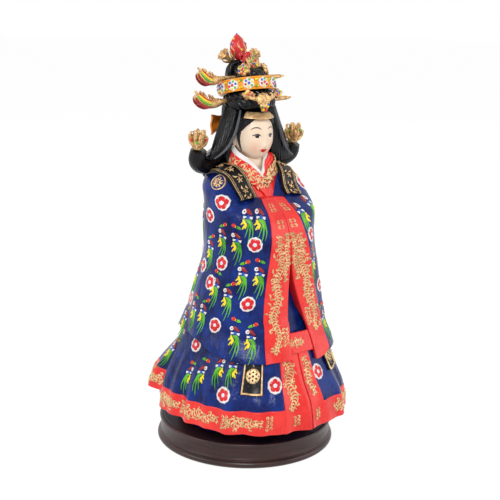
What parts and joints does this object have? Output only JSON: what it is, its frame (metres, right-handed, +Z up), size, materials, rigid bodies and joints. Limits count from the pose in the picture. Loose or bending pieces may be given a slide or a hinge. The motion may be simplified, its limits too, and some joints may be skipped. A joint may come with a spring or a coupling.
{
  "type": "figurine",
  "caption": "Standing court lady doll in a layered ceremonial robe with wide sleeves, a dressed wig and a tall crown, on a round turned base.",
  "frame": {"origin": "centre of the underside of the felt pad under the round base", "axes": "+Z up, the figure faces -Y, +X is the figure's left"},
  "size_m": [0.1, 0.1152, 0.2261],
  "materials": {
    "base_wood": "dark stained and lacquered, satin",
    "felt": "black felt",
    "steel": "zinc-plated steel",
    "red_cloth_paint": "glossy red enamel with rubbed gold relief",
    "blue_cloth_paint": "glossy deep blue enamel with hand-painted flowers and birds",
    "stole_paint": "glossy black enamel with gold lines",
    "skin": "ivory paint with a soft blush",
    "collar_paint": "white enamel",
    "hair": "glossy black enamel with combed lines",
    "ribbon_paint": "orange enamel",
    "crown_paint": "orange-yellow enamel",
    "rosette_paint": "white enamel with coloured dots",
    "bud_paint": "red enamel with gold strokes",
    "gold_paint": "antique gold paint, worn"
  },
  "bodies": {
    "root": {"base_plinth": "base_wood", "base_felt": "felt", "fixing_washer": "steel", "fixing_screw": "steel", "skirt_train": "blue_cloth_paint", "hem_train": "red_cloth_paint", "skirt_front_right": "blue_cloth_paint", "skirt_front_left": "blue_cloth_paint", "hem_front_right": "red_cloth_paint", "hem_front_left": "red_cloth_paint", "front_band_right": "red_cloth_paint", "front_band_left": "red_cloth_paint", "knee_panel": "red_cloth_paint", "cuff_right": "red_cloth_paint", "cuff_left": "red_cloth_paint", "sleeve_right": "blue_cloth_paint", "sleeve_left": "blue_cloth_paint", "stole_right": "stole_paint", "stole_left": "stole_paint", "stole_end_right": "stole_paint", "stole_end_left": "stole_paint", "head": "skin", "jacket_front": "red_cloth_paint", "hair_front": "hair", "collar_white": "collar_paint", "wig_lobe_right": "hair", "wig_lobe_left": "hair", "wig_horn_right": "hair", "wig_horn_left": "hair", "wig_hood": "hair", "tip_cluster_right": "gold_paint", "tip_cluster_left": "gold_paint", "hair_ribbon": "ribbon_paint", "forehead_band": "gold_paint", "wig_roll": "hair", "crown_band": "crown_paint", "band_rosette_1": "rosette_paint", "band_rosette_2": "rosette_paint", "band_rosette_3": "rosette_paint", "band_rosette_4": "rosette_paint", "band_rosette_5": "rosette_paint", "band_rosette_6": "rosette_paint", "band_rosette_7": "rosette_paint", "crown_floor": "hair", "topknot_front": "hair", "topknot_back": "hair", "hairpin_upper": "gold_paint", "pin_head_upper": "gold_paint", "hairpin_lower": "gold_paint", "pin_head_lower": "gold_paint", "front_ornament": "gold_paint", "side_jewel_right": "gold_paint", "side_jewel_left": "gold_paint", "knot_rosette_right": "gold_paint", "knot_rosette_left": "gold_paint", "top_filigree": "gold_paint", "top_bud": "bud_paint", "side_fan_left": "gold_paint", "side_fan_right": "gold_paint", "robe_body": "blue_cloth_paint"}
  },
  "joints": []
}
